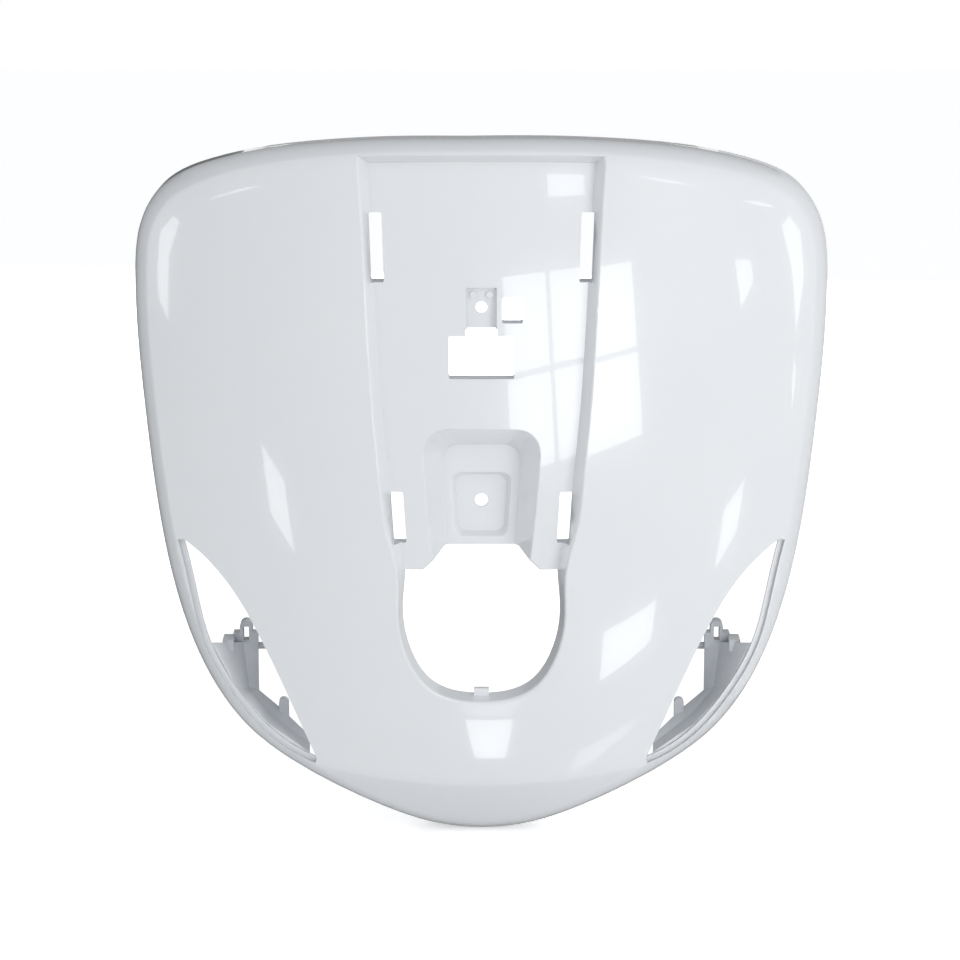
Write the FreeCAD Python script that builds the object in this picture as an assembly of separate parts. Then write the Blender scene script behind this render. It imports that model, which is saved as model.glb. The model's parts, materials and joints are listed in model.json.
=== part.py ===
import FreeCAD, Part
import math
import os
from FreeCAD import Vector

# Scooter front panel: the moulded shield in front of the rider's legs, one shell in one piece.
# Millimetres, +X to the viewer's right, +Y to the rear, +Z up. The mould opens along Y.
# The origin is the middle of the main screw hole, on the front face of its seat.

# Shell
wall = 2.5
half_width = 218.0
top_height = 226.0
chin_drop = 228.0
edge_roll_radius = 20.0
rim_depth = 32.0

# Crown, the swelling of the skin towards the front
crown_front = -38.0
crown_peak_height = 50.0
crown_radius_across = 380.0
crown_radius_up = 750.0
chin_start = -60.0
chin_reach = 140.0
chin_setback = 14.0

# Channel down the middle, and the steering-head opening that it runs into
channel_half_width = 76.0
channel_top_border = 8.0
channel_depth = 11.0
channel_draft = 30.0
channel_edge_round = 2.4
opening_drop = 127.0
opening_draft = 13.0
draft_blend_top = -20.0
draft_blend_bottom = -70.0
shelf_height = -40.0
floor_notch_height = -27.0
floor_notch_half_width = 23.0
stop_tab_width = 9.4
stop_tab_height = 4.0

# Main screw pocket in the channel's floor, and the seat in the pocket
pocket_top = 53.0
pocket_half_width = 41.0
pocket_foot_half_width = 36.5
pocket_corner = 16.0
pocket_slope = 14.0
pocket_edge_round = 2.0
seat_depth = 5.0
seat_top = 19.5
seat_bottom = -22.5
seat_half_width = 19.5
seat_foot_half_width = 17.0
seat_corner = 6.0
seat_slope = 3.0
seat_edge_round = 1.0
main_hole_diameter = 8.4

# Upper screw pad with its clip windows
pad_half_width = 9.3
pad_bottom = 112.0
pad_top = 137.0
pad_depth = 4.0
upper_hole_height = 124.6
upper_hole_diameter = 7.0
pip_diameter = 4.2
pip_spacing = 10.0
pip_height = 132.6
window_half_width = 20.0
window_bottom = 79.0
window_top = 107.5
window_neck_half_width = 9.8
square_left = 12.6
square_right = 25.2
square_bottom = 113.0
square_top = 130.8
return_depth = 9.0
return_wall = 1.75
return_lean = 3.0
hole_corner = 1.2

# Slots beside the channel's walls: middle height, length, width and lean
slot_inset = 8.1
upper_slot = (159.5, 44.5, 8.0, 1.8)
lower_slot = (-7.5, 35.0, 7.8, 3.2)

# Turn-signal openings in the lower corners
lamp_rebate_width = 4.0
lamp_rebate_depth = 2.2
lamp_rebate_wall = 3.0
bracket_wall = 2.4
clip_base_height = 7.0
clip_tower_width = 8.0
clip_tower_height = 11.0
clip_slot_width = 3.6
clip_slot_foot = 2.0
clip_ear_width = 7.0
clip_ear_length = 14.0
bracket_pin_diameter = 4.5
bracket_pin_length = 9.0
finger_width = 6.2
finger_length = 14.0
finger_depth = 6.0
# Stations of the right lamp bracket from its top to its tip: outer edge, crease and inner edge. Each point
# is a share of half_width, its depth behind the skin and a share of chin_drop.
BRACKET = [
    ((0.796, 4.2, -0.43), (0.712, 36.5, -0.458), (0.662, 43.1, -0.46)),
    ((0.725, 4.7, -0.564), (0.697, 28.0, -0.583), (0.665, 34.0, -0.597)),
    ((0.638, 4.8, -0.669), (0.633, 21.7, -0.658), (0.6, 30.4, -0.646)),
    ((0.516, 4.4, -0.75), (0.518, 14.2, -0.732), (0.5, 19.3, -0.724)),
]

# Screw bosses on the back: share of half_width and height of each pair
boss_diameter = 10.0
boss_pilot_diameter = 3.8
boss_length = 27.0
boss_web = 2.0
BOSSES = [(0.62, 0.76), (0.855, 0.44), (0.845, 0.02), (0.30, -0.76)]

# Outlines of the right half from top to bottom. X is a share of the half width; Z is a share of the
# height above the origin, or of the drop below it.
OUTLINE = [
    (0.0, 1.0), (0.23, 0.998), (0.40, 0.988), (0.60, 0.964), (0.735, 0.934), (0.835, 0.898),
    (0.94, 0.827), (0.977, 0.76), (0.998, 0.63), (0.995, 0.46), (0.974, 0.226), (0.936, -0.08),
    (0.893, -0.29), (0.80, -0.535), (0.692, -0.685), (0.50, -0.822), (0.283, -0.932), (0.14, -0.984),
]
CHANNEL = [
    (1.105, 1.3), (1.0, 1.0), (0.93, 0.6), (0.857, 0.206), (0.74, -0.3), (0.675, -0.62),
    (0.545, -0.86), (0.31, -0.97),
]
LAMP_INNER = [(0.862, -0.125), (0.716, -0.26), (0.624, -0.424), (0.56, -0.568), (0.483, -0.76)]
LAMP_OUTER = [(0.827, -0.28), (0.789, -0.43), (0.709, -0.572), (0.617, -0.679)]


def crown(x, z):
    """Depth Y of the outer skin, before its edge is rolled back."""
    across = crown_radius_across - math.sqrt(crown_radius_across ** 2 - x * x)
    up = (z - crown_peak_height) ** 2 / (2 * crown_radius_up)
    chin = chin_setback * (max(0.0, chin_start - z) / chin_reach) ** 3
    return crown_front + across + up + chin


def crown_normal(x, z):
    """Unit normal of the skin, pointing into the panel."""
    step = 0.01
    slope_x = (crown(x + step, z) - crown(x - step, z)) / (2 * step)
    slope_z = (crown(x, z + step) - crown(x, z - step)) / (2 * step)
    return Vector(-slope_x, 1.0, -slope_z).normalize()


def crown_face(inset):
    """The skin moved into the panel by inset, as one smooth face wider than the panel."""
    margin = 1.12
    across, up = 9, 11
    grid = []
    for i in range(across):
        x = half_width * margin * (2 * i / (across - 1) - 1)
        column = []
        for j in range(up):
            z = margin * ((top_height + chin_drop) * j / (up - 1) - chin_drop)
            column.append(Vector(x, crown(x, z), z) + crown_normal(x, z) * inset)
        grid.append(column)
    surface = Part.BSplineSurface()
    surface.interpolate(grid)
    return surface.toShape()


def in_front_of(inset):
    """Everything from well in front of the panel to the skin moved in by inset."""
    return crown_face(inset).extrude(Vector(0, -250, 0))


def behind(inset, depth=200.0):
    return crown_face(inset).extrude(Vector(0, depth, 0))


def prism(wire, front=-150.0, back=200.0):
    solid = Part.Face(wire).extrude(Vector(0, back - front, 0))
    solid.translate(Vector(0, front, 0))
    return solid


def plan(share, width, height, drop):
    """Plan point from a share of the width and of the height or drop."""
    return Vector(width * share[0], 0, (height if share[1] > 0 else drop) * share[1])


def mirrored(points):
    return [Vector(-p.x, p.y, p.z) for p in reversed(points)]


def both_sides(shape):
    return [shape, shape.mirror(Vector(0, 0, 0), Vector(1, 0, 0))]


def spline(points, periodic=False):
    curve = Part.BSplineCurve()
    curve.interpolate(points, PeriodicFlag=periodic)
    return curve


def polygon(points):
    return Part.makePolygon(points + points[:1])


def rounded_wire(corners, radii):
    """Closed wire through corners, each rounded by its own radius."""
    count = len(corners)
    bends = []
    for i, (corner, radius) in enumerate(zip(corners, radii)):
        back = (corners[i - 1] - corner).normalize()
        on = (corners[(i + 1) % count] - corner).normalize()
        half = 0.5 * back.getAngle(on)
        bisector = (back + on).normalize()
        reach = radius / math.tan(half)
        middle = corner + bisector * (radius / math.sin(half) - radius)
        bends.append((corner + back * reach, middle, corner + on * reach))
    edges = []
    for i, (start, middle, end) in enumerate(bends):
        if radii[i]:
            edges.append(Part.Arc(start, middle, end).toShape())
        edges.append(Part.makeLine(end, bends[(i + 1) % count][0]))
    return Part.Wire(edges)


def outline_curve():
    """The panel's outline in plan, clockwise from the top."""
    right = [plan(share, half_width, top_height, chin_drop) for share in OUTLINE]
    return spline(right + [Vector(0, 0, -chin_drop)] + mirrored(right[1:]), True)


def smooth_face(columns):
    """One surface through columns of points, closed from the last column to the first."""
    count, rows = len(columns), len(columns[0])
    steps = []
    for j in range(1, rows):
        steps.append(sum((c[j] - c[j - 1]).Length for c in columns) / count)
    down = [sum(steps[:j]) for j in range(rows)]
    around = list(range(count + 1))
    lines = []
    for column in columns:
        line = Part.BSplineCurve()
        line.interpolate(Points=column, Parameters=down)
        lines.append(line)
    rings = []
    for poles in zip(*[line.getPoles() for line in lines]):
        ring = Part.BSplineCurve()
        ring.interpolate(Points=list(poles), Parameters=around, PeriodicFlag=True)
        rings.append(ring)
    poles = [list(row) for row in zip(*[ring.getPoles() for ring in rings])]
    ring, line = rings[0], lines[0]
    surface = Part.BSplineSurface()
    surface.buildFromPolesMultsKnots(
        poles, ring.getMultiplicities(), line.getMultiplicities(), ring.getKnots(), line.getKnots(),
        True, False, ring.Degree, line.Degree
    )
    return surface


def skin_face(inset):
    """The skin moved in by inset: the crown, then the roll that turns its edge to the rear.

    It spreads from a small loop inside the steering-head opening, where the panel is open.
    """
    outline = outline_curve()
    loop_middle = Vector(0, 0, 0.5 * (shelf_height - opening_drop))
    loop_share = 0.1
    samples = 44
    crown_rows = (0.0, 0.2, 0.45, 0.7, 0.88, 0.96, 1.0)
    roll_rows = 7
    grid = []
    for i in range(samples + 1):
        at = outline.FirstParameter + (outline.LastParameter - outline.FirstParameter) * i / samples
        along = outline.tangent(at)[0]
        inward = Vector(along.z, 0, -along.x)
        edge = outline.value(at)
        foot = edge + inward * edge_roll_radius
        for _ in range(12):
            normal = crown_normal(foot.x, foot.z)
            foot = edge + (inward - Vector(normal.x, 0, normal.z)) * edge_roll_radius
        centre = Vector(foot.x, crown(foot.x, foot.z), foot.z) + normal * edge_roll_radius
        turn = math.acos(normal.dot(inward))
        start = loop_middle + (edge - loop_middle) * loop_share
        column = []
        for share in crown_rows:
            point = start + (Vector(foot.x, 0, foot.z) - start) * share
            point.y = crown(point.x, point.z)
            column.append(point + crown_normal(point.x, point.z) * inset)
        for j in range(1, roll_rows + 1):
            angle = turn * j / roll_rows
            ray = (normal * math.sin(turn - angle) + inward * math.sin(angle)) * (1.0 / math.sin(turn))
            column.append(centre - ray * (edge_roll_radius - inset))
        grid.append(column)
    return smooth_face(grid[:-1]).toShape()


def plug(inset, depth):
    """The solid under the skin, back to depth behind the crown."""
    rim = in_front_of(0.0)
    rim.translate(Vector(0, depth, 0))
    body = skin_face(inset).extrude(Vector(0, 250, 0))
    if body.Volume < 0:
        body.reverse()
    return body.common(rim)


def draft_at(z):
    """Tangent of the draft: steep walls round the opening, open ones along the channel."""
    share = (z - draft_blend_bottom) / (draft_blend_top - draft_blend_bottom)
    share = min(1.0, max(0.0, share))
    share = share * share * (3 - 2 * share)
    return math.tan(math.radians(opening_draft + (channel_draft - opening_draft) * share))


def drafted_solid(curve, closing, grow, front=-70.0, back=12.0):
    """Solid that meets the skin along a plan curve and narrows to the rear by the draft."""
    samples = 26
    first, last = curve.FirstParameter, curve.LastParameter
    near, far = [], []
    for i in range(samples + 1):
        at = first + (last - first) * i / samples
        along = curve.tangent(at)[0]
        out = Vector(along.z, 0, -along.x)
        point = curve.value(at)
        skin = crown(point.x, point.z)
        draft = draft_at(point.z)
        near.append(point + out * (grow + (skin - front) * draft) + Vector(0, front, 0))
        far.append(point + out * (grow + (skin - back) * draft) + Vector(0, back, 0))
    wires = []
    for points, depth in ((near, front), (far, back)):
        corners = [points[-1]] + [p + Vector(0, depth, 0) for p in closing] + [points[0]]
        lines = [Part.makeLine(a, b) for a, b in zip(corners, corners[1:])]
        wires.append(Part.Wire([spline(points).toShape()] + lines))
    return Part.makeLoft(wires, True, True)


def channel_solid(grow):
    """The channel and the opening as one drafted solid, through the whole panel."""
    top = top_height - channel_top_border
    right = channel_points()
    left_to_right = mirrored(right)[::-1] + [Vector(0, 0, -opening_drop)] + right[::-1]
    sides = drafted_solid(spline(left_to_right), [], grow)
    reach = 1.5 * channel_half_width
    fall = (top_height - plan(OUTLINE[2], half_width, top_height, chin_drop).z)
    edge = [Vector(reach, 0, top - fall), Vector(0, 0, top), Vector(-reach, 0, top - fall)]
    below = [Vector(-reach, 0, -chin_drop), Vector(reach, 0, -chin_drop)]
    return sides.common(drafted_solid(spline(edge), below, grow))


def trapezoid(half_top, half_foot, top, foot, y):
    right = [Vector(half_foot, y, foot), Vector(half_top, y, top)]
    return right + mirrored(right)


def pocket_solid(grow):
    """The drafted pocket for the main screw; its foot runs out through the opening."""
    floor = -seat_depth + grow
    mouth = crown_front + channel_depth - 4.0
    shrink = pocket_slope * (floor - mouth) / (-seat_depth - crown_front - channel_depth)
    foot = floor_notch_height - 40.0
    spread = (pocket_half_width - pocket_foot_half_width) * (pocket_top - foot) / (pocket_top - shelf_height)
    wires = []
    for inset, corner, y in ((0.0, pocket_corner, mouth), (shrink, 0.6 * pocket_corner, floor)):
        wide = pocket_half_width + grow - inset
        wires.append(rounded_wire(
            trapezoid(wide, wide - spread, pocket_top + grow - inset, foot, y), [0.0, corner, corner, 0.0]
        ))
    return Part.makeLoft(wires, True, True)


def seat_solid(grow):
    """The shallow drafted seat of the main screw."""
    wires = []
    for inset, y in ((0.0, -seat_depth - 1.0), (seat_slope, grow)):
        out = grow - inset
        corners = trapezoid(
            seat_half_width + out, seat_foot_half_width + out, seat_top + out, seat_bottom - out, y
        )
        wires.append(rounded_wire(corners, [seat_corner] * 4))
    return Part.makeLoft(wires, True, True)


def hole(x, z, diameter, front=-80.0, back=80.0):
    return Part.makeCylinder(diameter / 2, back - front, Vector(x, front, z), Vector(0, 1, 0))


def drafted_hole(points, lean, grow, depth):
    """Prism of a plan rectangle whose foot leans in towards the rear."""
    wires = []
    middle = sum((p for p in points), Vector()) * (1.0 / len(points))
    for y, draw in ((-60.0, 0.0), (depth, 1.0)):
        ring = []
        for p in points:
            out_x = math.copysign(grow, p.x - middle.x)
            out_z = math.copysign(grow, p.z - middle.z)
            rise = lean if p.z < middle.z else 0.0
            ring.append(Vector(p.x + out_x, y, p.z + out_z + rise * draw))
        wires.append(rounded_wire(ring, [hole_corner + grow] * 4))
    return Part.makeLoft(wires, True, True)


def floor_depth(x, z):
    return crown(x, z) + channel_depth


def sleeve_and_hole(points, lean):
    """A hole in the channel's floor and the return wall behind its edge."""
    middle = sum((p for p in points), Vector()) * (1.0 / len(points))
    back = floor_depth(middle.x, middle.z) + return_depth
    return drafted_hole(points, lean, return_wall, back), drafted_hole(points, lean, 0.0, back + 1.0)


def channel_points():
    """Plan points of the channel's right edge, from the top down."""
    top = top_height - channel_top_border
    return [plan(share, channel_half_width, top, opening_drop) for share in CHANNEL]


def channel_edge(z):
    """Half width of the channel at a height."""
    points = channel_points()
    for above, below in zip(points, points[1:]):
        if below.z <= z <= above.z:
            return below.x + (above.x - below.x) * (z - below.z) / (above.z - below.z)


def slot_points(slot, side):
    height, length, width, lean = slot
    half_spacing = channel_edge(height) - slot_inset
    slope = math.tan(math.radians(lean))
    points = []
    for across, up in ((-1, -1), (1, -1), (1, 1), (-1, 1)):
        z = up * length / 2
        points.append(Vector(side * (half_spacing + slope * z) + across * width / 2, 0, height + z))
    return points


def rectangle(left, right, bottom, top):
    return [Vector(left, 0, bottom), Vector(right, 0, bottom), Vector(right, 0, top), Vector(left, 0, top)]


def floor_openings():
    """Return walls and holes of the window, the square hole and the four slots."""
    window = rectangle(-window_half_width, window_half_width, window_bottom, window_top)
    neck = rectangle(-window_neck_half_width, window_neck_half_width, window_top - 10.0, pad_bottom)
    square = rectangle(square_left, square_right, square_bottom, square_top)
    pieces = [sleeve_and_hole(window, return_lean), sleeve_and_hole(neck, 0.0)]
    pieces.append(sleeve_and_hole(square, return_lean))
    for slot in (upper_slot, lower_slot):
        for side in (-1, 1):
            pieces.append(sleeve_and_hole(slot_points(slot, side), return_lean))
    return [sleeve for sleeve, _ in pieces], [tool for _, tool in pieces]


def opening_cut():
    """What is cut away below the shelf, inside the collar of the steering-head opening."""
    reach = 1.4 * channel_half_width
    notch = floor_notch_half_width
    rise = floor_notch_height - shelf_height
    below = -opening_drop - 20.0
    profile = [
        Vector(-reach, 0, below), Vector(reach, 0, below), Vector(reach, 0, shelf_height),
        Vector(notch + rise, 0, shelf_height), Vector(notch, 0, floor_notch_height),
        Vector(-notch, 0, floor_notch_height), Vector(-notch - rise, 0, shelf_height),
        Vector(-reach, 0, shelf_height),
    ]
    return channel_solid(0.0).common(prism(polygon(profile)))


def lamp_plan(outset):
    """Edges of the right turn-signal opening in plan, its outer one moved out by outset."""
    inner = [plan(share, half_width, top_height, chin_drop) for share in LAMP_INNER]
    outer = [plan(share, half_width, top_height, chin_drop) for share in LAMP_OUTER]
    outer = [inner[0]] + outer + [inner[-1]]
    curve = spline(outer)
    if outset:
        moved = []
        for point in outer:
            along = curve.tangent(curve.parameter(point))[0]
            moved.append(point + Vector(-along.z, 0, along.x) * outset)
        curve = spline(moved)
    return spline(inner), curve


def lamp_opening():
    """Right turn-signal opening: the cut through the skin, and the rebate along its outer edge."""
    inner, outer = lamp_plan(lamp_rebate_width)
    ends = [Part.makeLine(inner.EndPoint, outer.EndPoint), Part.makeLine(outer.StartPoint, inner.StartPoint)]
    cut = prism(Part.Wire([inner.toShape(), ends[0], outer.toShape(), ends[1]]))
    lip, seat = lamp_plan(0.0)[1], lamp_plan(lamp_rebate_width + 3.5)[1]
    ends = [Part.makeLine(lip.EndPoint, seat.EndPoint), Part.makeLine(seat.StartPoint, lip.StartPoint)]
    band = prism(Part.Wire([lip.toShape(), ends[0], seat.toShape(), ends[1]]))
    return cut, band.common(behind(lamp_rebate_depth, lamp_rebate_wall))


def bracket_section(outer, crease, inner):
    """Thin angle section of the lamp bracket, in the plane of its three points."""
    normal = (crease - outer).cross(inner - crease).normalize()
    side = normal.cross(crease - outer).normalize()
    flange = normal.cross(inner - crease).normalize()
    bend = (side + flange).normalize()
    mitre = bend * (bracket_wall / bend.dot(side))
    rear = [inner + flange * bracket_wall, crease + mitre, outer + side * bracket_wall]
    return polygon([outer, crease, inner] + rear)


def bracket_points():
    """The bracket's stations in millimetres."""
    stations = []
    for station in BRACKET:
        points = []
        for across, depth, drop in station:
            x, z = across * half_width, drop * chin_drop
            points.append(Vector(x, crown(x, z) + depth, z))
        stations.append(points)
    return stations


def block(left, right, front, back, bottom, top):
    return Part.makeBox(right - left, back - front, top - bottom, Vector(left, front, bottom))


def lamp_bracket():
    """Right lamp bracket: bent sheet, clip tower with its slot, locating pin and finger."""
    stations = bracket_points()
    sheet = Part.makeLoft([bracket_section(*station) for station in stations], True, True)
    _, crease, inner = stations[0]
    sunk = bracket_wall + 0.6
    low, top = inner.z - sunk, inner.z + clip_base_height
    front, back = crease.y - 1.0, inner.y + 2.5 * bracket_wall
    base = block(inner.x, crease.x + 2 * bracket_wall, front, back, low, top)
    middle = 0.5 * (crease.x + inner.x) + 2.0
    half, round_at = clip_tower_width / 2, inner.z + clip_tower_height
    tower = block(middle - half, middle + half, front, back, top - 1.0, round_at)
    head = Part.makeCylinder(half, back - front, Vector(middle, front, round_at), Vector(0, 1, 0))
    half = clip_slot_width / 2
    slot = block(middle - half, middle + half, front - 1.0, back + 1.0, inner.z + clip_slot_foot, round_at)
    left, tip_y = crease.x + 2 * bracket_wall - 1.0, crease.y - clip_ear_length
    ear = block(left, left + clip_ear_width, tip_y, front + sunk, low + 1.0, top - 1.5)
    pin_at = Vector(inner.x - bracket_pin_length / 2, inner.y + sunk, low)
    pin = Part.makeCylinder(bracket_pin_diameter / 2, bracket_pin_length, pin_at, Vector(1, 0, 0))
    foot = stations[2][2]
    half = finger_width / 2
    at = foot + Vector(-half, -2 * finger_depth / 3, 4.0)
    finger = block(at.x - half, foot.x, at.y, at.y + finger_depth, at.z - finger_length, at.z)
    tip = Part.makeCylinder(half, finger_depth, at, Vector(0, 1, 0))
    return sheet.fuse([base, tower, head, ear, pin, finger, tip]).cut(slot)


def bosses():
    """Screw bosses with their webs, and the pilot holes in them."""
    posts, pilots = [], []
    for share in BOSSES:
        for side in (-1, 1):
            at = plan(share, half_width, top_height, chin_drop)
            x, z = side * at.x, at.z
            skin = crown(x, z)
            end = skin + boss_length
            posts.append(hole(x, z, boss_diameter, skin, end))
            reach = 0.5 * boss_diameter + 6.0
            web_end = end - 0.3 * boss_length
            posts.append(block(x - reach, x + reach, skin, web_end, z - boss_web / 2, z + boss_web / 2))
            posts.append(block(x - boss_web / 2, x + boss_web / 2, skin, web_end, z - reach, z + reach))
            pilots.append(hole(x, z, boss_pilot_diameter, skin + 2.5 * wall, end + 1.0))
    return posts, pilots


def pad_solid(grow):
    """The recessed pad of the upper screw."""
    back = floor_depth(0, upper_hole_height) + pad_depth + grow
    wide = pad_half_width + grow
    return block(-wide, wide, -60.0, back, pad_bottom - grow, pad_top + grow)


def pad_pips():
    face = floor_depth(0, upper_hole_height) + pad_depth
    places = (-pip_spacing / 2, pip_spacing / 2)
    return [hole(x, pip_height, pip_diameter, face - 1.2, face + 1.0) for x in places]


def stop_tab():
    """Small stop that stands on the foot of the steering-head opening."""
    half = stop_tab_width / 2
    back = crown(0, -opening_drop) + channel_depth + wall - 0.5
    return block(-half, half, back - 4.0, back, -opening_drop, stop_tab_height - opening_drop + 3.0)


def edges_where(shape, test):
    """Edges of a shape on which every point passes a test."""
    found = []
    for edge in shape.Edges:
        first, last = edge.ParameterRange
        points = [edge.valueAt(first + (last - first) * i / 6) for i in range(7)]
        if all(test(point) for point in points):
            found.append(edge)
    return found


def behind_skin(point):
    """Distance of a point behind the crown, square to it."""
    return (point.y - crown(point.x, point.z)) * crown_normal(point.x, point.z).y


def soften(panel):
    """Rounds the channel's edge, the mouth of the pocket and the edge of the seat."""
    def on_mouth(point):
        level = abs(behind_skin(point) - channel_depth) < 0.4
        return level and abs(point.x) < pocket_half_width and shelf_height - 1 < point.z < pocket_top

    def on_seat_edge(point):
        level = abs(point.y + seat_depth) < 0.05
        return level and abs(point.x) < seat_half_width and seat_bottom < point.z < seat_top

    def on_channel_edge(point):
        inside = abs(point.x) < channel_edge(top_height) and point.z > -opening_drop - 1
        return inside and abs(behind_skin(point)) < 2.0

    panel = panel.makeFillet(pocket_edge_round, edges_where(panel, on_mouth))
    panel = panel.makeFillet(seat_edge_round, edges_where(panel, on_seat_edge))
    sides = [edge for edge in edges_where(panel, on_channel_edge) if edge.BoundBox.ZMin < 0]
    return panel.makeFillet(channel_edge_round, sides)


def make_panel():
    grow = wall / math.cos(math.radians(channel_draft))
    sleeves, holes = floor_openings()
    posts, pilots = bosses()
    front = channel_solid(0.0).common(in_front_of(channel_depth))
    half = pocket_half_width
    root = block(-half, half, -4 * seat_depth, 2 * seat_depth, shelf_height, pocket_top)
    form = plug(0.0, rim_depth).fuse(root)
    form = form.cut([front, pocket_solid(0.0), seat_solid(0.0), pad_solid(0.0)])
    front = channel_solid(grow).common(in_front_of(channel_depth + wall))
    inside = [front, pocket_solid(wall), seat_solid(wall), pad_solid(wall)] + sleeves + posts
    cavity = plug(wall, rim_depth + 20.0).cut(inside)
    shell = form.cut(cavity)
    holes.append(hole(0, 0, main_hole_diameter))
    holes.append(hole(0, upper_hole_height, upper_hole_diameter))
    holes.append(opening_cut())
    lamp_cut, rebate = lamp_opening()
    shell = shell.cut(holes + pilots + both_sides(lamp_cut))
    added = both_sides(rebate) + both_sides(lamp_bracket()) + pad_pips() + [stop_tab()]
    return soften(shell.fuse(added))


os.makedirs("parts", exist_ok=True)
panel = make_panel()
panel.exportStep("parts/front_panel.step")
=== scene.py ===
"""Finish, studio and camera for a moulded scooter front panel."""
import json
import math

import bmesh
import bpy
from bpy.props import FloatProperty, PointerProperty, StringProperty
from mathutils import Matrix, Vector, kdtree


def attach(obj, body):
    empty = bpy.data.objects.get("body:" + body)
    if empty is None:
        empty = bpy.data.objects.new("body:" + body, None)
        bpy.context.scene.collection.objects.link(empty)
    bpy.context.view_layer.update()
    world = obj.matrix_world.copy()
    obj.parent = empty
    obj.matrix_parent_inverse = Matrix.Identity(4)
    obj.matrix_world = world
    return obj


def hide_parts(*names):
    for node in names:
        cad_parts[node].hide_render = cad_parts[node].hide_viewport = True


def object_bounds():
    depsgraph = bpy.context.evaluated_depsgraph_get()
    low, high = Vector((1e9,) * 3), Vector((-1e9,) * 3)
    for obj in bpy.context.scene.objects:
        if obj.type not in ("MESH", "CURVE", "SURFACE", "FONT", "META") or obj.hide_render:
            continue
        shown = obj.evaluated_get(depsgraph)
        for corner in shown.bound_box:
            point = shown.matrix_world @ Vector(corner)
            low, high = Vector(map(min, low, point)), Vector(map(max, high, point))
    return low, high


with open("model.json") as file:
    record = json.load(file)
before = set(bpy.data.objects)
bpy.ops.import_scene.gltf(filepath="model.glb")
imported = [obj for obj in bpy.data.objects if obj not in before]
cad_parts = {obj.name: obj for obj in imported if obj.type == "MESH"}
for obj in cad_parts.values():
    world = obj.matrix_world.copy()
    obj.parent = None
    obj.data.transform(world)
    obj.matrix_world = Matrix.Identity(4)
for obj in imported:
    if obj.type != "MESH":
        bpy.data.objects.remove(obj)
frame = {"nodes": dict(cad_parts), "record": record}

bl_info = {
    "name": "Scooter front panel",
    "version": (1, 0, 0),
    "blender": (4, 5, 0),
    "location": "View3D > Sidebar > Front Panel",
    "description": "Lacquers the moulded front panel and sets up its studio",
    "category": "Object",
}

NODE = "front_panel"
PIECE = "front_panel_lacquered"
OPENINGS = {item["name"]: item["box_m"] for item in frame["record"]["physics"]["openings"]}
HOLE_KINDS = ("connector_window", "square_hole", "upper_slot", "lower_slot")
CAD_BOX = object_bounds()
MM = 0.001

# The moulded skin, as the mould was cut: its crown, its rolled edge and its walls
WALL = 2.5 * MM
CROWN_FRONT = -38.0 * MM
CROWN_PEAK = 50.0 * MM
CROWN_ACROSS = 380.0 * MM
CROWN_UP = 750.0 * MM
CHIN_START = -60.0 * MM
CHIN_REACH = 140.0 * MM
CHIN_SETBACK = 14.0 * MM
ROLL_RADIUS = 20.0 * MM
CHANNEL_DEPTH = 11.0 * MM

# How the mesh is matched to the mould: a face's tilt is its normal's share along an axis
SKIN_TOLERANCE = 0.35 * MM
SKIN_MATCH = 0.94
ROLL_START = 0.02
ROLL_END = 0.2 * MM
SPINE_ROUNDS = 10
SHORTEST_STEP = 0.001 * MM
SIDE_WALL_TILT = 0.03
SIDE_WALL_OUTWARD = 0.5
OUTLINE_TURN = math.radians(1.5)
OUTLINE_DENT = 6.0 * MM
WELD_GAP = 0.004 * MM
LONGEST_EDGE = 9.0 * MM
SPLIT_ROUNDS = 3
SHARP_ANGLE = math.radians(32.0)

# Where each finish lies on the moulding; the dusted finish also carries painted shade on hole walls and lamp
# brackets
LACQUERED, BARE, DUSTED_AND_SHADED = range(3)
FRONT_FACING = -0.05
OUTWARD_FACING = -0.5
RIM_DEPTH = 1.3 * WALL
HOLE_MARGIN = 3.0 * MM
HOLE_WALL_TILT = 0.3
FLOOR_MARGIN = 0.2 * MM
BRACKET_TOP = -85.0 * MM
BRACKET_INNER = 100.0 * MM
BRACKET_FRONT = 23.0 * MM
BRACKET_DEPTH = 6.0 * MM
# How the dusted grey darkens behind the bracket front: partly thinner dust, partly painted shade of the lamp
# recess
SPRAY_AND_SHADE_REACH = 32.0 * MM
SPRAY_AND_SHADE_FRONT = 0.95
SPRAY_AND_SHADE_FADE = 0.9
DUST_MOTTLE = 0.25

# Places on the skin, in mm across and up from the main screw, where the studio's lights mirror in the gloss;
# the window's bars are shares of its width and height
WINDOW_CORNERS = ((13, 144), (91, 153), (99, 47), (19, 20))
WINDOW_BARS = (0.35, 0.5)
BAR_SHARE = 0.035
BRIGHT_CARDS = {
    "top_card": ((40, 206), (63, 205), (63, 193), (41, 192)),
    "left_card": ((-136, 39), (-122, 16), (-116, -30), (-131, -5)),
    "upper_right_card": ((156, 151), (166, 150), (168, 137), (160, 121)),
    "right_card": ((164, 14), (160, -19), (146, -44), (151, -6)),
    "lower_right_card": ((109, -60), (106, -88), (74, -114), (76, -80)),
    "left_side_card": (
        (-191, 175), (-187, 172), (-194, 151), (-195, 111), (-201, 123), (-202, 141), (-200, 165)
    ),
    "right_side_card": ((191, 175), (198, 166), (201, 138), (196, 103), (193, 142), (186, 170)),
    "chin_card": ((-10, -139), (20, -139), (15, -168), (-4, -168)),
    "left_streak": ((-170, 186), (-152.5, 193), (-127.5, 198.5), (-151.5, 191.5)),
    "right_streak": ((86, 205), (111, 201.5), (136, 195.5), (112.5, 199.5)),
    "corner_streak": ((159.5, 186.5), (172, 185.5), (183.5, 180.5), (170, 183)),
    "edge_streak": ((195, 87), (196.5, 78), (194, 53), (194, 73.5)),
}
FAINT_CARDS = {
    "foot_card": ((102, -138), (92, -153), (54, -183), (62, -164)),
    "upper_chin_card": ((-16, -125), (26, -125), (18, -136), (-8, -136)),
}
FAINT_SHARE = 0.5

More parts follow.
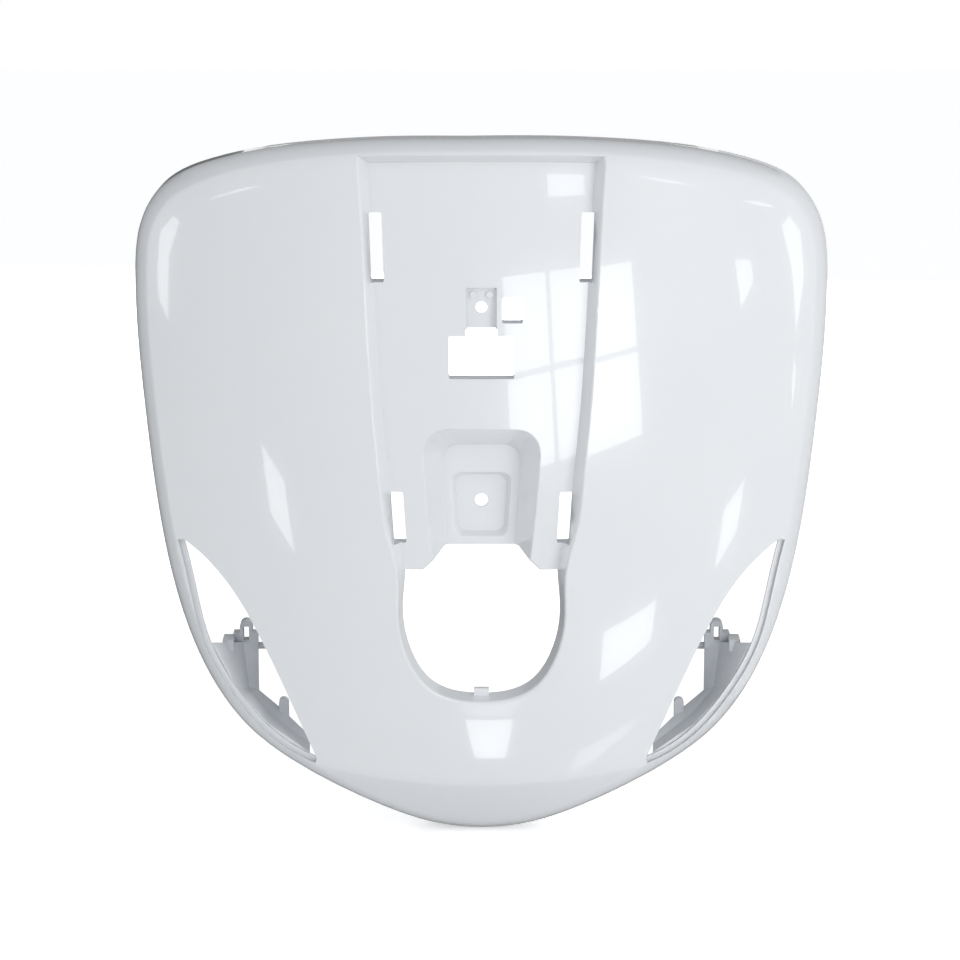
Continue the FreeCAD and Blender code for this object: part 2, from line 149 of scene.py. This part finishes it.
# A hood of grey flags round the panel: the way from the panel to each flag, and its tone
FLAGS = {
    "left_flag": ((-1, 0), 0.1),
    "right_flag": ((1, 0), 0.6),
    "top_flag": ((0, 1), 0.3),
    "low_flag": ((0, -1), 0.2),
}

# Flags, cards, softboxes, floor and camera, in metres unless a name says otherwise
FLAG_FRONT = -0.15
FLAG_FRONT_REACH = 0.9
FLAG_REAR = 1.8
FLAG_REAR_REACH = 0.35
CARD_REACH = 1.0
KEY_PLACE = (1.9, -2.1, 0.5)
KEY_SIZE = (1.0, 1.2)
REAR_PLACE = (0.3, 2.4, 0.4)
REAR_SIZE = (1.4, 1.2)
FLOOR_HALF = 6.0
FLOOR_SQUARES = 4
FLOOR_GAP = 0.5 * MM
FIBRE_HEIGHT = 0.05 * MM
SENSOR_WIDTH_MM = 36.0


def to_linear(colour):
    """Linear RGBA from an sRGB hex colour."""
    linear = []
    for start in (1, 3, 5):
        level = int(colour[start:start + 2], 16) / 255.0
        linear.append(level / 12.92 if level <= 0.04045 else ((level + 0.055) / 1.055) ** 2.4)
    return (*linear, 1.0)


def add_node(tree, kind, settings=None, **inputs):
    """Adds a node. Each input is named by its words, or by i and its number, and is a value or a socket."""
    node = tree.nodes.new(kind)
    for name, value in (settings or {}).items():
        setattr(node, name, value)
    for name, value in inputs.items():
        key = int(name[1:]) if name[0] == "i" and name[1:].isdigit() else name.replace("_", " ")
        socket = node.inputs[key]
        if isinstance(value, bpy.types.NodeSocket):
            tree.links.new(value, socket)
        else:
            socket.default_value = value
    return node


def new_material(name):
    """An empty node material and its node tree."""
    material = bpy.data.materials.new(name)
    material.use_nodes = True
    material.node_tree.nodes.clear()
    return material, material.node_tree


def gloss_lacquer(settings):
    """White two-pack lacquer, sprayed on the front of the ABS."""
    # The sprayed film flows out before it cures, so lamps mirror sharply in it; what waviness stays is orange
    # peel, waves some millimetres wide that bend the edge of a reflection. The film's thickness drifts over a
    # hand's width, which gives a barely seen change of tone. Cured acrylic has an IOR near 1.5.
    material, tree = new_material("gloss_white_lacquer_on_abs")
    place = add_node(tree, "ShaderNodeTexCoord").outputs["Object"]
    peel = add_node(tree, "ShaderNodeTexNoise", Vector=place, Scale=1.0 / settings.peel_width, Detail=1.0)
    relief = add_node(
        tree, "ShaderNodeBump", Height=peel.outputs["Fac"], Strength=0.02, Distance=settings.peel_height
    )
    drift = add_node(tree, "ShaderNodeTexNoise", Vector=place, Scale=1.0 / settings.cloud_width, Detail=2.0)
    colour = add_node(
        tree, "ShaderNodeMix", {"data_type": "RGBA"}, i0=drift.outputs["Fac"],
        i6=to_linear(settings.lacquer_shade), i7=to_linear(settings.lacquer_colour),
    )
    shader = add_node(
        tree, "ShaderNodeBsdfPrincipled", Base_Color=colour.outputs[2], Roughness=0.16, IOR=1.5,
        Coat_Weight=1.0, Coat_Roughness=0.02, Coat_IOR=1.5, Normal=relief.outputs["Normal"],
        Coat_Normal=relief.outputs["Normal"],
    )
    add_node(tree, "ShaderNodeOutputMaterial", Surface=shader.outputs["BSDF"])
    return material


def bare_abs(settings):
    """White ABS as it left the mould, on the back."""
    # The core side of the tool is left as spark erosion cut it, and the plastic copies that fine grain: a
    # satin that blurs every reflection. The melt's flow leaves soft, wide marks. ABS has an IOR near 1.53.
    # The real grain is about a tenth of a millimetre, so it is drawn coarser, about one pixel of the render.
    material, tree = new_material("moulded_bare_abs")
    place = add_node(tree, "ShaderNodeTexCoord").outputs["Object"]
    grain = add_node(tree, "ShaderNodeTexNoise", Vector=place, Scale=1.0 / settings.grain_width, Detail=3.0)
    relief = add_node(
        tree, "ShaderNodeBump", Height=grain.outputs["Fac"], Strength=0.25, Distance=settings.grain_height
    )
    flow = add_node(tree, "ShaderNodeTexNoise", Vector=place, Scale=1.0 / settings.cloud_width, Detail=3.0)
    colour = add_node(
        tree, "ShaderNodeMix", {"data_type": "RGBA"}, i0=flow.outputs["Fac"],
        i6=to_linear(settings.abs_shade), i7=to_linear(settings.abs_colour),
    )
    shader = add_node(
        tree, "ShaderNodeBsdfPrincipled", Base_Color=colour.outputs[2], Roughness=0.42, IOR=1.53,
        Normal=relief.outputs["Normal"],
    )
    add_node(tree, "ShaderNodeOutputMaterial", Surface=shader.outputs["BSDF"])
    return material


def oversprayed_abs_painted_shade(settings):
    """ABS of the lamp brackets and hole walls, dusted with stray lacquer and darkened as painted shade."""
    # Spray that drifts through the openings dries on the way and settles as dust, mottled over a few
    # millimetres, with a dull sheen. The grey pales towards the viewer: partly the dust, thick at the front
    # and thin behind, and partly painted shade deepening into the lamp recess; on the hole walls the grey is
    # painted shade.
    # The moulded grain beneath is drawn coarser than it is, as on the bare back.
    material, tree = new_material("oversprayed_abs_painted_shade")
    place = add_node(tree, "ShaderNodeTexCoord").outputs["Object"]
    dust = add_node(tree, "ShaderNodeTexNoise", Vector=place, Scale=1.0 / settings.dust_width, Detail=4.0)
    spray_and_shade = add_node(tree, "ShaderNodeAttribute", {"attribute_name": "overspray"})
    amount = add_node(
        tree, "ShaderNodeMath", {"operation": "MULTIPLY_ADD"}, i0=dust.outputs["Fac"], i1=DUST_MOTTLE,
        i2=spray_and_shade.outputs["Fac"],
    )
    clipped = add_node(tree, "ShaderNodeClamp", Value=amount.outputs[0])
    # From the dusted grey at the front to the bracket grey behind; the darkening towards the back is partly
    # painted shade.
    colour = add_node(
        tree, "ShaderNodeMix", {"data_type": "RGBA"}, i0=clipped.outputs[0],
        i6=to_linear(settings.bracket_grey_painted_shade), i7=to_linear(settings.dust_and_shade_colour),
    )
    grain = add_node(tree, "ShaderNodeTexNoise", Vector=place, Scale=1.0 / settings.grain_width, Detail=3.0)
    relief = add_node(
        tree, "ShaderNodeBump", Height=grain.outputs["Fac"], Strength=0.25, Distance=settings.grain_height
    )
    shader = add_node(
        tree, "ShaderNodeBsdfPrincipled", Base_Color=colour.outputs[2], Roughness=0.38, IOR=1.53,
        Normal=relief.outputs["Normal"],
    )
    add_node(tree, "ShaderNodeOutputMaterial", Surface=shader.outputs["BSDF"])
    return material


def crown(x, z):
    """Depth of the outer skin at a place across and up, before its edge rolls back."""
    across = CROWN_ACROSS - math.sqrt(max(0.0, CROWN_ACROSS ** 2 - x * x))
    up = (z - CROWN_PEAK) ** 2 / (2 * CROWN_UP)
    chin = CHIN_SETBACK * (max(0.0, CHIN_START - z) / CHIN_REACH) ** 3
    return CROWN_FRONT + across + up + chin


def crown_normal(x, z):
    """Unit normal of the crown, pointing to the rear."""
    slope_x = x / math.sqrt(CROWN_ACROSS ** 2 - x * x)
    slope_z = (z - CROWN_PEAK) / CROWN_UP
    slope_z -= 3 * CHIN_SETBACK / CHIN_REACH * (max(0.0, CHIN_START - z) / CHIN_REACH) ** 2
    return Vector((-slope_x, 1.0, -slope_z)).normalized()


def faces_outward(face):
    """Whether a face runs front to back, as the side wall does, and looks away from the middle."""
    normal = face.normal
    middle = face.center
    outward = normal.x * middle.x + normal.z * middle.z
    return abs(normal.y) < SIDE_WALL_TILT and outward > SIDE_WALL_OUTWARD * middle.length


def outline_from(mesh):
    """The panel's plan outline: the farthest corner of its side wall at each turn round the middle."""
    farthest = {}
    for face in mesh.polygons:
        if faces_outward(face):
            for index in face.vertices:
                point = mesh.vertices[index].co
                turn = round(math.atan2(point.x, point.z) / OUTLINE_TURN)
                corner = Vector((point.x, 0.0, point.z))
                if turn not in farthest or corner.length > farthest[turn].length:
                    farthest[turn] = corner
    corners = [farthest[turn] for turn in sorted(farthest)]
    outline = []
    for i, corner in enumerate(corners):
        around = max(corners[i - 1].length, corners[(i + 1) % len(corners)].length)
        if corner.length > around - OUTLINE_DENT:
            outline.append(corner)
    return outline


def roll_spine(outline):
    """Points of the rolled edge's centre line, each with its inward direction and skin normal."""
    spine = []
    count = len(outline)
    for i, here in enumerate(outline):
        come = here - outline[i - 1]
        leave = outline[(i + 1) % count] - here
        along = (come.normalized() * leave.length + leave.normalized() * come.length).normalized()
        inward = Vector((along.z, 0.0, -along.x))
        foot = here + inward * ROLL_RADIUS
        for _ in range(SPINE_ROUNDS):
            normal = crown_normal(foot.x, foot.z)
            foot = here + (inward - Vector((normal.x, 0.0, normal.z))) * ROLL_RADIUS
        centre = Vector((foot.x, crown(foot.x, foot.z), foot.z)) + normal * ROLL_RADIUS
        spine.append((centre, inward, normal))
    return spine


class MouldedSkin:
    """Answers which moulded surface a point lies on, and its true normal there."""

    def __init__(self, mesh):
        self.spine = roll_spine(outline_from(mesh))
        self.tree = kdtree.KDTree(len(self.spine))
        for i, (centre, _, _) in enumerate(self.spine):
            self.tree.insert(centre, i)
        self.tree.balance()

    def nearest(self, point):
        """Gap to the roll's centre line, its closest point, and inward direction and skin normal there."""
        _, closest, _ = self.tree.find(point)
        best = None
        for i in (closest - 1, closest):
            start, start_inward, start_normal = self.spine[i]
            end, end_inward, end_normal = self.spine[(i + 1) % len(self.spine)]
            step = end - start
            share = (point - start).dot(step) / max(step.length_squared, SHORTEST_STEP ** 2)
            share = min(1.0, max(0.0, share))
            centre = start + step * share
            gap = (point - centre).length
            if best is None or gap < best[0]:
                inward = start_inward.lerp(end_inward, share)
                best = (gap, centre, inward, start_normal.lerp(end_normal, share))
        return best

    def seat(self, point, face_normal):
        """Place and true normal on the skin, its inside or the floor near point; None on any other face."""
        gap, centre, inward, skin = self.nearest(point)
        ray = point - centre
        turned = ray.dot(inward) < 0.0 and ray.y < ROLL_END
        if turned and (-ray).angle(inward) <= skin.angle(inward) + ROLL_START:
            true = ray.normalized()
            sink = ROLL_RADIUS - gap
            levels = (0.0, WALL)
        else:
            true = -crown_normal(point.x, point.z)
            sink = (crown(point.x, point.z) - point.y) * true.y
            levels = (0.0, WALL, CHANNEL_DEPTH, CHANNEL_DEPTH + WALL)
        level = min(levels, key=lambda depth: abs(sink - depth))
        match = true.dot(face_normal)
        if abs(sink - level) > SKIN_TOLERANCE or abs(match) < SKIN_MATCH:
            return None
        return point + true * (sink - level), true if match > 0 else -true


def fans(vertex):
    """Faces round a vertex, grouped where no sharp edge parts them."""
    left = list(vertex.link_faces)
    while left:
        fan = []
        open_faces = [left.pop()]
        while open_faces:
            face = open_faces.pop()
            fan.append(face)
            for edge in face.edges:
                if vertex in edge.verts and edge.smooth:
                    for other in edge.link_faces:
                        if other in left:
                            left.remove(other)
                            open_faces.append(other)
        yield fan


def refine_skin(form, skin):
    """Splits long edges of the moulded surfaces and seats the new points on them."""
    for _ in range(SPLIT_ROUNDS):
        long_edges = []
        for edge in form.edges:
            if edge.calc_length() > LONGEST_EDGE and len(edge.link_faces) == 2:
                middle = 0.5 * (edge.verts[0].co + edge.verts[1].co)
                if all(skin.seat(middle, face.normal) for face in edge.link_faces):
                    long_edges.append(edge)
        split = bmesh.ops.subdivide_edges(form, edges=long_edges, cuts=1)
        for item in split["geom_inner"]:
            if isinstance(item, bmesh.types.BMVert):
                seat = skin.seat(item.co, item.link_faces[0].normal)
                if seat:
                    item.co = seat[0]
        bmesh.ops.triangulate(form, faces=[face for face in form.faces if len(face.verts) > 3])
        form.normal_update()


def smooth_normals(form, skin):
    """Corner normals: the mould's own on skin and floor, area-weighted on every other face."""
    normals = {}
    for vertex in form.verts:
        for fan in fans(vertex):
            seats = [skin.seat(vertex.co, face.normal) for face in fan]
            exact = [seat[1] for seat in seats if seat]
            if exact:
                normal = sum(exact, Vector()).normalized()
            else:
                normal = sum((face.normal * face.calc_area() for face in fan), Vector()).normalized()
            for face in fan:
                normals[face.index, vertex.index] = normal
    return normals


def in_hole(middle, holes):
    """Whether a face's middle lies, in plan, in one of the floor's holes or on its wall."""
    return any(
        low[0] - HOLE_MARGIN < middle.x < high[0] + HOLE_MARGIN
        and low[2] - HOLE_MARGIN < middle.z < high[2] + HOLE_MARGIN
        for low, high in holes
    )


def finish_of(face, holes, skin):
    """Which finish a face shows: lacquered front, bare back, or dusted grey with painted shade on hole walls
    and lamp brackets.
    """
    middle = face.calc_center_median()
    depth = middle.y - crown(middle.x, middle.z)
    behind_floor = depth > CHANNEL_DEPTH + FLOOR_MARGIN
    # Walls of the holes behind the floor get the darker dusted grey: painted shade of the deep holes.
    if behind_floor and abs(face.normal.y) < HOLE_WALL_TILT and in_hole(middle, holes):
        return DUSTED_AND_SHADED
    _, centre, inward, _ = skin.nearest(middle)
    outward = (centre - middle).dot(inward)
    if outward > ROLL_RADIUS - WALL / 2 and face.normal.dot(inward) < OUTWARD_FACING:
        return LACQUERED
    on_shell = outward > ROLL_RADIUS - RIM_DEPTH or skin.seat(middle, face.normal)
    by_lamp = abs(middle.x) > BRACKET_INNER and middle.z < BRACKET_TOP
    set_back = middle.y > BRACKET_FRONT and depth > BRACKET_DEPTH
    if by_lamp and set_back and not on_shell:
        return DUSTED_AND_SHADED
    return LACQUERED if face.normal.y < FRONT_FACING else BARE


def build_panel(settings):
    """The lacquered panel: the CAD moulding with the mould's own normals and its three finishes."""
    source = frame["nodes"][NODE].data
    skin = MouldedSkin(source)
    form = bmesh.new()
    form.from_mesh(source)
    bmesh.ops.remove_doubles(form, verts=form.verts, dist=WELD_GAP)
    refine_skin(form, skin)
    for edge in form.edges:
        edge.smooth = len(edge.link_faces) == 2 and edge.calc_face_angle(math.pi) < SHARP_ANGLE
    form.verts.index_update()
    form.faces.index_update()
    normals = smooth_normals(form, skin)
    holes = [box for name, box in OPENINGS.items() if name.startswith(HOLE_KINDS)]
    for face in form.faces:
        face.smooth = True
        face.material_index = finish_of(face, holes, skin)
    mesh = bpy.data.meshes.new(PIECE)
    form.to_mesh(mesh)
    form.free()
    corner_normals = []
    for polygon in mesh.polygons:
        for index in polygon.vertices:
            corner_normals.append(normals[polygon.index, index])
    mesh.normals_split_custom_set(corner_normals)
    # Falls from front to back: partly thinner dust, partly painted shade of the lamp recess.
    spray_and_shade = mesh.attributes.new("overspray", "FLOAT", "POINT")
    for vertex in mesh.vertices:
        reach = (vertex.co.y - BRACKET_FRONT) / SPRAY_AND_SHADE_REACH
        spray_and_shade.data[vertex.index].value = min(1.0, max(0.0, SPRAY_AND_SHADE_FRONT - SPRAY_AND_SHADE_FADE * reach))
    for material in (gloss_lacquer(settings), bare_abs(settings), oversprayed_abs_painted_shade(settings)):
        mesh.materials.append(material)
    piece = bpy.data.objects.new(PIECE, mesh)
    bpy.context.scene.collection.objects.link(piece)
    return piece


def softbox(name, place, size, power, colour):
    """A rectangular lamp turned to the main screw; the cards, not the lamp, show in the gloss."""
    light = bpy.data.lights.new(name, "AREA")
    light.shape = "RECTANGLE"
    light.size, light.size_y = size
    light.energy = power
    light.color = to_linear(colour)[:3]
    lamp = bpy.data.objects.new(name, light)
    lamp.location = place
    lamp.rotation_euler = (-Vector(place)).to_track_quat("-Z", "Y").to_euler()
    lamp.visible_camera = False
    lamp.visible_glossy = False
    bpy.context.scene.collection.objects.link(lamp)


def seen_directly(tree):
    """One for a camera, glossy or transmission ray, else nought."""
    path = add_node(tree, "ShaderNodeLightPath")
    seen_or_mirrored = add_node(
        tree, "ShaderNodeMath", {"operation": "MAXIMUM"}, i0=path.outputs["Is Camera Ray"],
        i1=path.outputs["Is Glossy Ray"],
    )
    return add_node(
        tree, "ShaderNodeMath", {"operation": "MAXIMUM"}, i0=seen_or_mirrored.outputs[0],
        i1=path.outputs["Is Transmission Ray"],
    ).outputs[0]


def studio_world(settings):
    """Even light, stronger from the front, and plain white for an eye or reflection that meets nothing."""
    world = bpy.data.worlds.new("studio")
    bpy.context.scene.world = world
    world.use_nodes = True
    tree = world.node_tree
    tree.nodes.clear()
    way = add_node(tree, "ShaderNodeTexCoord").outputs["Generated"]
    rear = add_node(tree, "ShaderNodeSeparateXYZ", Vector=way).outputs["Y"]
    level = add_node(
        tree, "ShaderNodeMapRange", Value=rear, From_Min=-1.0, From_Max=1.0, To_Min=settings.sky_front,
        To_Max=settings.sky_rear,
    )
    light = add_node(
        tree, "ShaderNodeBackground", Color=to_linear(settings.sky_colour), Strength=level.outputs[0]
    )
    paper = add_node(tree, "ShaderNodeBackground", Color=to_linear(settings.paper_colour), Strength=1.0)
    mix = add_node(
        tree, "ShaderNodeMixShader", i0=seen_directly(tree), i1=light.outputs[0], i2=paper.outputs[0]
    )
    add_node(tree, "ShaderNodeOutputWorld", Surface=mix.outputs[0])


def white_paper(settings):
    """Uncoated background paper of the studio."""
    # Pressed pulp scatters light evenly and has no gloss. Its fibres are hundredths of a millimetre thick, so
    # they are drawn coarser, as clumps. The lift brings paper that is seen to white and leaves the shadow.
    material, tree = new_material("matt_white_paper")
    fibre = add_node(tree, "ShaderNodeTexNoise", Scale=1.0 / settings.fibre_width, Detail=2.0)
    relief = add_node(
        tree, "ShaderNodeBump", Height=fibre.outputs["Fac"], Strength=0.05, Distance=FIBRE_HEIGHT
    )
    shader = add_node(
        tree, "ShaderNodeBsdfPrincipled", Base_Color=to_linear(settings.paper_colour), Roughness=0.9,
        Normal=relief.outputs["Normal"],
    )
    lift = add_node(
        tree, "ShaderNodeMath", {"operation": "MULTIPLY"}, i0=seen_directly(tree), i1=settings.paper_lift
    )
    glow = add_node(
        tree, "ShaderNodeEmission", Color=to_linear(settings.paper_colour), Strength=lift.outputs[0]
    )
    paper = add_node(tree, "ShaderNodeAddShader", i0=shader.outputs[0], i1=glow.outputs[0])
    add_node(tree, "ShaderNodeOutputMaterial", Surface=paper.outputs[0])
    return material


def studio_floor(settings):
    """Pale paper floor just under the chin; it keeps the panel's soft shadow."""
    form = bmesh.new()
    bmesh.ops.create_grid(form, x_segments=FLOOR_SQUARES, y_segments=FLOOR_SQUARES, size=FLOOR_HALF)
    mesh = bpy.data.meshes.new("studio_floor")
    form.to_mesh(mesh)
    form.free()
    mesh.materials.append(white_paper(settings))
    floor = bpy.data.objects.new("studio_floor", mesh)
    floor.location = (0.0, 0.0, CAD_BOX[0][2] - FLOOR_GAP)
    floor.visible_glossy = False
    bpy.context.scene.collection.objects.link(floor)


def lit_cloth(name, colour, strength):
    """Diffuser cloth or felt at an even brightness, as a reflection shows it."""
    # Woven nylon lit from behind, or pressed wool: in a reflection both are too fine to show but as a tone.
    material, tree = new_material(name)
    glow = add_node(tree, "ShaderNodeEmission", Color=to_linear(colour), Strength=strength)
    add_node(tree, "ShaderNodeOutputMaterial", Surface=glow.outputs[0])
    return material


def card(name, corners, material):
    """A flat card that only shows as a reflection in the gloss."""
    mesh = bpy.data.meshes.new(name)
    mesh.from_pydata(corners, [], [tuple(range(len(corners)))])
    mesh.materials.append(material)
    piece = bpy.data.objects.new(name, mesh)
    piece.visible_camera = False
    piece.visible_diffuse = False
    piece.visible_transmission = False
    piece.visible_shadow = False
    bpy.context.scene.collection.objects.link(piece)


def mirrored_corner(place, eye):
    """Where a card's corner stands so that the camera sees it mirrored at a place on the skin."""
    x = place[0] * MM
    z = place[1] * MM
    point = Vector((x, crown(x, z), z))
    return point + (point - eye).normalized().reflect(crown_normal(x, z)) * CARD_REACH


def window_panes():
    """Places of the window's four panes between its bars."""
    top_left, top_right, low_right, low_left = [Vector(corner) for corner in WINDOW_CORNERS]
    upright_bar, level_bar = WINDOW_BARS
    half = BAR_SHARE / 2
    columns = ((0.0, upright_bar - half), (upright_bar + half, 1.0))
    rows = ((0.0, level_bar - half), (level_bar + half, 1.0))

    def place_at(across, down):
        return top_left.lerp(top_right, across).lerp(low_left.lerp(low_right, across), down)

    for left, right in columns:
        for top, low in rows:
            yield place_at(left, top), place_at(right, top), place_at(right, low), place_at(left, low)


def studio_cards(settings):
    """The window and the cards that mirror in the lacquer."""
    eye = camera_place(settings)
    bright = lit_cloth("lit_diffuser_cloth", settings.card_colour, settings.card_strength)
    faint = lit_cloth("dim_diffuser_cloth", settings.card_colour, FAINT_SHARE * settings.card_strength)
    for i, pane in enumerate(window_panes()):
        card(f"window_pane_{i}", [mirrored_corner(place, eye) for place in pane], bright)
    for cards, cloth in ((BRIGHT_CARDS, bright), (FAINT_CARDS, faint)):
        for name, places in cards.items():
            card(name, [mirrored_corner(place, eye) for place in places], cloth)


def studio_flags(settings):
    """A hood of four felt flags; it mirrors in the rolled edge and parts it from the white paper."""
    front = Vector((0.0, FLAG_FRONT, 0.0))
    rear = Vector((0.0, FLAG_REAR, 0.0))
    for name, ((across, up), tone) in FLAGS.items():
        out = Vector((across, 0.0, up))
        along = Vector((up, 0.0, across))
        corners = [
            front + (out - along) * FLAG_FRONT_REACH,
            front + (out + along) * FLAG_FRONT_REACH,
            rear + (out + along) * FLAG_REAR_REACH,
            rear + (out - along) * FLAG_REAR_REACH,
        ]
        card(name, corners, lit_cloth(name + "_felt", settings.card_colour, tone))


def camera_aim(settings):
    """The place on the panel that the camera is turned to."""
    return Vector((settings.aim_across, 0.0, settings.aim_up))


def camera_place(settings):
    """Where the camera stands: square to the panel and a little above it."""
    tilt = settings.camera_height
    return camera_aim(settings) + Vector((0.0, -math.cos(tilt), math.sin(tilt))) * settings.camera_distance


def studio_camera(settings):
    """The camera, at the photograph's angle."""
    camera = bpy.data.objects.new("camera", bpy.data.cameras.new("camera"))
    camera.data.lens = settings.lens
    camera.data.sensor_width = SENSOR_WIDTH_MM
    camera.location = camera_place(settings)
    view = camera_aim(settings) - camera.location
    camera.rotation_euler = view.to_track_quat("-Z", "Y").to_euler()
    bpy.context.scene.collection.objects.link(camera)
    bpy.context.scene.camera = camera


class FinishSettings(bpy.types.PropertyGroup):
    """Colours and surface sizes of the panel's finishes."""
    lacquer_colour: StringProperty(name="Lacquer", description="Full lacquer, sRGB", default="#E8EAEC")
    lacquer_shade: StringProperty(name="Thin lacquer", description="Thinner lacquer, sRGB", default="#E4E6E9")
    abs_colour: StringProperty(name="Bare plastic", description="Moulded plastic, sRGB", default="#DADBDD")
    abs_shade: StringProperty(name="Flow marks", description="Darker flow marks, sRGB", default="#D0D2D5")
    # The dusted colour also paints shade on the holes' walls; the bracket grey's darkening towards the back
    # is painted shade of the lamp recess.
    dust_and_shade_colour: StringProperty(name="Overspray", description="Dusted plastic, sRGB", default="#D3D6DA")
    bracket_grey_painted_shade: StringProperty(name="Bracket", description="Undusted bracket, sRGB", default="#A4A8AD")
    peel_width: FloatProperty(
        name="Peel width", description="Width of the orange peel's waves", default=4 * MM, unit="LENGTH"
    )
    peel_height: FloatProperty(
        name="Peel height", description="Height of the orange peel", default=0.05 * MM, unit="LENGTH"
    )
    grain_width: FloatProperty(
        name="Grain width", description="Width of the moulded grain", default=0.6 * MM, unit="LENGTH"
    )
    grain_height: FloatProperty(
        name="Grain height", description="Height of the moulded grain", default=0.03 * MM, unit="LENGTH"
    )
    cloud_width: FloatProperty(
        name="Drift width", description="Width of the drift in tone", default=90 * MM, unit="LENGTH"
    )
    dust_width: FloatProperty(
        name="Dust width", description="Width of the overspray's patches", default=6 * MM, unit="LENGTH"
    )


class StudioSettings(bpy.types.PropertyGroup):
    """Light, floor and camera."""
    paper_colour: StringProperty(name="Paper", description="Floor and background, sRGB", default="#FFFFFF")
    paper_lift: FloatProperty(name="Paper lift", description="Lifts the seen paper to white", default=0.42)
    fibre_width: FloatProperty(
        name="Fibre width", description="Width of the paper's fibre clumps", default=2 * MM, unit="LENGTH"
    )
    sky_colour: StringProperty(name="Sky", description="Even studio light, sRGB", default="#F8FAFC")
    sky_front: FloatProperty(name="Front light", description="Even light from the front", default=0.99)
    sky_rear: FloatProperty(name="Rear light", description="Even light from the rear", default=0.16)
    lamp_colour: StringProperty(name="Lamps", description="Light of the softboxes, sRGB", default="#FFFFFF")
    key_power: FloatProperty(name="Key", description="Power of the key lamp", default=19.0, unit="POWER")
    rear_power: FloatProperty(name="Rear", description="Power of the rear lamp", default=30.0, unit="POWER")
    card_colour: StringProperty(name="Cards", description="Cards and flags, sRGB", default="#FDFEFF")
    card_strength: FloatProperty(name="Card strength", description="Strength of the lit cards", default=4.0)
    lens: FloatProperty(name="Lens", description="Focal length", default=120.3, unit="CAMERA")
    camera_height: FloatProperty(
        name="Height", description="Camera's angle above level", default=math.radians(12.0), subtype="ANGLE"
    )
    camera_distance: FloatProperty(
        name="Distance", description="From the camera to its aim", default=2.0, unit="LENGTH"
    )
    aim_across: FloatProperty(
        name="Aim across", description="Aim to the right of the main screw", default=-0.9 * MM, unit="LENGTH"
    )
    aim_up: FloatProperty(
        name="Aim up", description="Aim above the main screw", default=12.8 * MM, unit="LENGTH"
    )


class FRONTPANEL_OT_lacquer(bpy.types.Operator):
    """Dress the moulding in its lacquer, bare plastic and overspray, with painted shade on hole walls and
    brackets
    """
    bl_idname = "front_panel.lacquer"
    bl_label = "Lacquer panel"

    def execute(self, context):
        if NODE not in frame["nodes"]:
            raise RuntimeError(f"The frame has no node {NODE} to lacquer")
        piece = build_panel(context.scene.front_panel_finish)
        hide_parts(NODE)
        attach(piece, "root")
        return {"FINISHED"}


class FRONTPANEL_OT_studio(bpy.types.Operator):
    """Set up the floor, the lights and the camera"""
    bl_idname = "front_panel.studio"
    bl_label = "Set up studio"

    def execute(self, context):
        settings = context.scene.front_panel_studio
        studio_world(settings)
        studio_floor(settings)
        studio_cards(settings)
        studio_flags(settings)
        softbox("key_softbox", KEY_PLACE, KEY_SIZE, settings.key_power, settings.lamp_colour)
        softbox("rear_softbox", REAR_PLACE, REAR_SIZE, settings.rear_power, settings.lamp_colour)
        studio_camera(settings)
        context.scene.view_settings.view_transform = "Standard"
        return {"FINISHED"}


class FRONTPANEL_PT_sidebar(bpy.types.Panel):
    """Front panel tools"""
    bl_label = "Front Panel"
    bl_idname = "FRONTPANEL_PT_sidebar"
    bl_space_type = "VIEW_3D"
    bl_region_type = "UI"
    bl_category = "Front Panel"

    def draw(self, context):
        for settings in (context.scene.front_panel_finish, context.scene.front_panel_studio):
            for name in settings.__annotations__:
                self.layout.prop(settings, name)
        self.layout.operator("front_panel.lacquer")
        self.layout.operator("front_panel.studio")


CLASSES = (
    FinishSettings, StudioSettings, FRONTPANEL_OT_lacquer, FRONTPANEL_OT_studio, FRONTPANEL_PT_sidebar,
)


def register():
    """Makes the settings, operators and panel known to Blender."""
    for item in CLASSES:
        bpy.utils.register_class(item)
    bpy.types.Scene.front_panel_finish = PointerProperty(type=FinishSettings)
    bpy.types.Scene.front_panel_studio = PointerProperty(type=StudioSettings)


def unregister():
    """Takes them away again."""
    del bpy.types.Scene.front_panel_studio
    del bpy.types.Scene.front_panel_finish
    for item in reversed(CLASSES):
        bpy.utils.unregister_class(item)


def main():
    """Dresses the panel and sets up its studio."""
    register()
    bpy.ops.front_panel.lacquer()
    bpy.ops.front_panel.studio()


if __name__ == "__main__":
    main()
